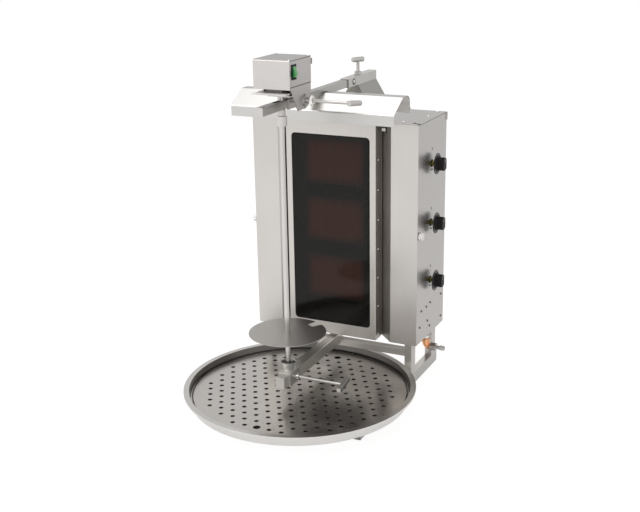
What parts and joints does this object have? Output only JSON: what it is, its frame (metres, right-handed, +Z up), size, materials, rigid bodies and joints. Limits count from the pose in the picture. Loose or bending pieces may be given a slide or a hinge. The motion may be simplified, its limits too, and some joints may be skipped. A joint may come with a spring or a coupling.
{
  "type": "gas doner kebab grill",
  "caption": "Upright gas doner grill: glass-fronted infrared burners in a steel body, motor-driven spit with disc, hood, and a round drip pan with a perforated plate.",
  "frame": {"origin": "on the floor, in the middle of the outline; the spit axis stands 4 mm to the left of it and 152 mm in front of it", "axes": "+Z up, +X to the right seen from the front, +Y to the back"},
  "size_m": [0.6179, 0.812, 0.9315],
  "materials": {
    "steel": "brushed stainless sheet, fine grain",
    "tube": "satin stainless tube",
    "bright": "bright turned steel",
    "glass": "dark tinted heat-proof glass",
    "seal": "woven fibre seal",
    "ceramic": "fired ceramic tile, matt",
    "burner": "heat-tinted steel",
    "brass": "turned brass",
    "copper": "bright copper",
    "black": "matt black heat-proof plastic",
    "green": "translucent green plastic",
    "dark": "dark grey paint",
    "gear": "machined steel, oiled"
  },
  "bodies": {
    "stand": {"base_rails": "tube", "rail_end_caps": "black", "posts": "tube", "cross_rail": "tube", "spit_arm": "tube", "arm_end_cap": "bright", "housing_left": "steel", "housing_right": "steel", "lid_left": "steel", "lid_right": "steel", "core_shell": "steel", "burner_frame": "steel", "glass_pane": "glass", "glass_seal": "seal", "rear_cover": "steel", "burner_boxes": "burner", "ceramic_tiles": "ceramic", "gas_manifold": "burner", "gas_valves": "brass", "feed_pipes": "copper", "thermocouples": "burner", "inlet_elbow": "copper", "inlet_tap": "bright", "hood": "steel", "flue_box": "steel", "bracket_tower": "steel", "rail_sleeve": "steel", "clamp_collar": "bright", "body_screws": "bright"},
    "rail": {"top_rail": "tube", "rail_end_plug": "bright"},
    "rail_clamp": {"rail_clamp_handle": "bright"},
    "carriage": {"carriage_frame": "steel", "motor_plate": "steel", "motor_cover": "steel", "motor_can": "dark", "gear_case": "dark", "switch_housing": "black", "cable_gland": "black"},
    "carriage_clamp": {"carriage_clamp_handle": "bright"},
    "rocker": {"switch_rocker": "green"},
    "pinion": {"drive_pinion": "gear"},
    "spit": {"output_wheel": "gear", "spit_rod": "bright", "spit_sleeve": "bright"},
    "disc": {"spit_disc": "steel"},
    "saddle": {"cup_saddle": "steel", "bearing_cup": "bright", "cup_pin": "bright"},
    "arm_clamp": {"arm_clamp_handle": "bright"},
    "knob_lower": {"gas_knob_lower": "black", "valve_stem_lower": "brass"},
    "knob_middle": {"gas_knob_middle": "black", "valve_stem_middle": "brass"},
    "knob_upper": {"gas_knob_upper": "black", "valve_stem_upper": "brass"},
    "side_screw_left": {"side_knob_left": "bright"},
    "side_screw_right": {"side_knob_right": "bright"},
    "pan": {"drip_pan": "steel"},
    "plate": {"pan_plate": "steel"}
  },
  "joints": [
    {"name": "rail_slide", "type": "slide", "parent": "stand", "child": "rail", "axis": [0, 1, 0], "range_m": [-0.015, 0.02]},
    {"name": "rail_clamp_turn", "type": "hinge", "parent": "stand", "child": "rail_clamp", "pos_m": [-0.004, 0.305, 0.85], "axis": [0, 0, 1], "range_deg": [-180, 180]},
    {"name": "carriage_slide", "type": "slide", "parent": "stand", "child": "carriage", "axis": [0, 1, 0], "range_m": [-0.012, 0.035]},
    {"name": "carriage_clamp_turn", "type": "hinge", "parent": "carriage", "child": "carriage_clamp", "pos_m": [0.056, -0.114, 0.8265], "axis": [1, 0, 0], "range_deg": [-180, 180]},
    {"name": "switch_rock", "type": "hinge", "parent": "carriage", "child": "rocker", "pos_m": [0.0406, -0.1755, 0.902], "axis": [0, 1, 0], "range_deg": [0, 18]},
    {"name": "spit_spin", "type": "hinge", "parent": "carriage", "child": "spit", "pos_m": [-0.004, -0.152, 0.5], "axis": [0, 0, 1], "continuous": true},
    {"name": "pinion_spin", "type": "hinge", "parent": "carriage", "child": "pinion", "pos_m": [-0.004, -0.122, 0.88], "axis": [0, 0, 1], "continuous": true},
    {"name": "disc_slide", "type": "slide", "parent": "spit", "child": "disc", "axis": [0, 0, 1], "range_m": [0, 0.3]},
    {"name": "saddle_slide", "type": "slide", "parent": "stand", "child": "saddle", "axis": [0, 1, 0], "range_m": [-0.012, 0.035]},
    {"name": "arm_clamp_turn", "type": "hinge", "parent": "saddle", "child": "arm_clamp", "pos_m": [0.056, -0.147, 0.1085], "axis": [1, 0, 0], "range_deg": [-180, 180]},
    {"name": "knob_turn_lower", "type": "hinge", "parent": "stand", "child": "knob_lower", "pos_m": [0.251, 0.2215, 0.2895], "axis": [1, 0, 0], "range_deg": [-200, 0]},
    {"name": "knob_turn_middle", "type": "hinge", "parent": "stand", "child": "knob_middle", "pos_m": [0.251, 0.2215, 0.4535], "axis": [1, 0, 0], "range_deg": [-200, 0]},
    {"name": "knob_turn_upper", "type": "hinge", "parent": "stand", "child": "knob_upper", "pos_m": [0.251, 0.2215, 0.6175], "axis": [1, 0, 0], "range_deg": [-200, 0]},
    {"name": "side_screw_turn_left", "type": "hinge", "parent": "stand", "child": "side_screw_left", "pos_m": [-0.24, 0.13, 0.438], "axis": [-1, 0, 0], "range_deg": [-180, 180]},
    {"name": "side_screw_turn_right", "type": "hinge", "parent": "stand", "child": "side_screw_right", "pos_m": [0.25, 0.13, 0.438], "axis": [1, 0, 0], "range_deg": [-180, 180]},
    {"name": "pan_slide", "type": "slide", "parent": "stand", "child": "pan", "axis": [0, -1, 0], "range_m": [0, 0.22]},
    {"name": "plate_lift", "type": "slide", "parent": "pan", "child": "plate", "axis": [0, 0, 1], "range_m": [0, 0.018]}
  ],
  "couplings": [
    {"joint": "pinion_spin", "follows": "spit_spin", "ratio": -4},
    {"joint": "saddle_slide", "follows": "carriage_slide", "ratio": 1}
  ]
}
